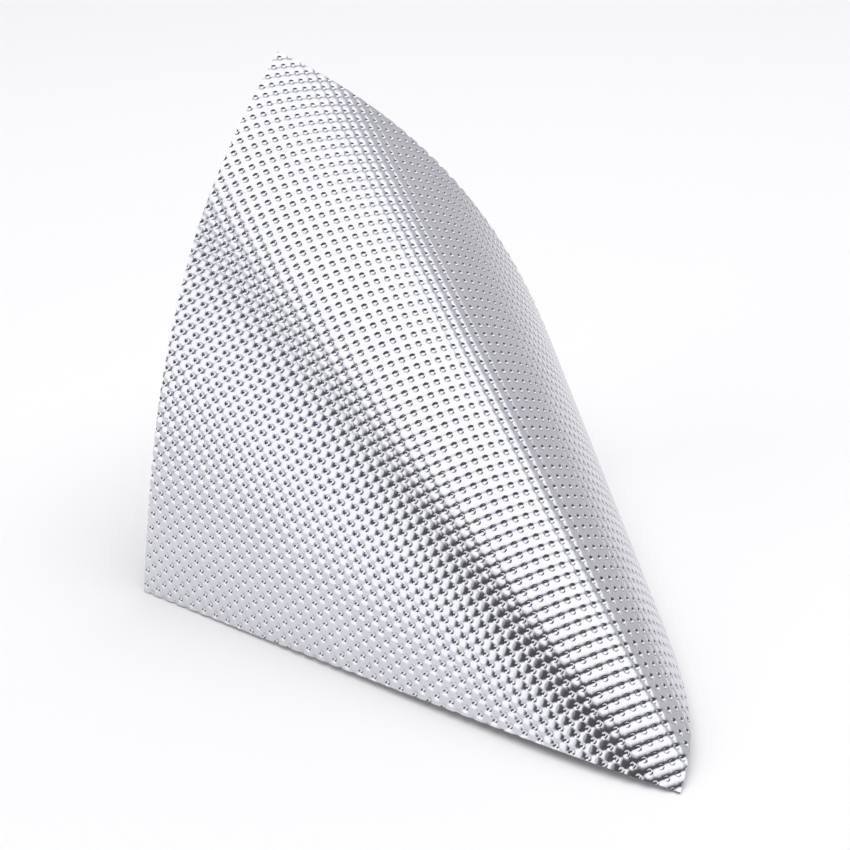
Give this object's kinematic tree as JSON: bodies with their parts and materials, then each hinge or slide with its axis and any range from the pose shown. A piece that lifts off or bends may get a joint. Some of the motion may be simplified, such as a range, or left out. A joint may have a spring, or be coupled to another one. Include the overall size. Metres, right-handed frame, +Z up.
{
  "type": "embossed aluminium-faced foam pad",
  "caption": "Thin square foam pad with a dimpled mirror-bright aluminium face, bent over its diagonal and standing on three corners.",
  "frame": {"origin": "middle of the footprint, on the floor the pad stands on", "axes": "+Z up; +Y from the low front corner towards the raised back corner, along the crest's direction seen from above; +X towards the right-hand corner"},
  "size_m": [0.2734, 0.3584, 0.242],
  "materials": {
    "embossed_aluminium": "bright, mirror-like, embossed with small round dimples",
    "bond_film": "clear, slightly cloudy",
    "foam": "matt closed cell",
    "plain_aluminium": "plain satin foil"
  },
  "bodies": {
    "root": {"face_foil": "embossed_aluminium", "face_bond_film": "bond_film", "foam_core": "foam", "back_bond_film": "bond_film", "back_foil": "plain_aluminium"}
  },
  "joints": []
}
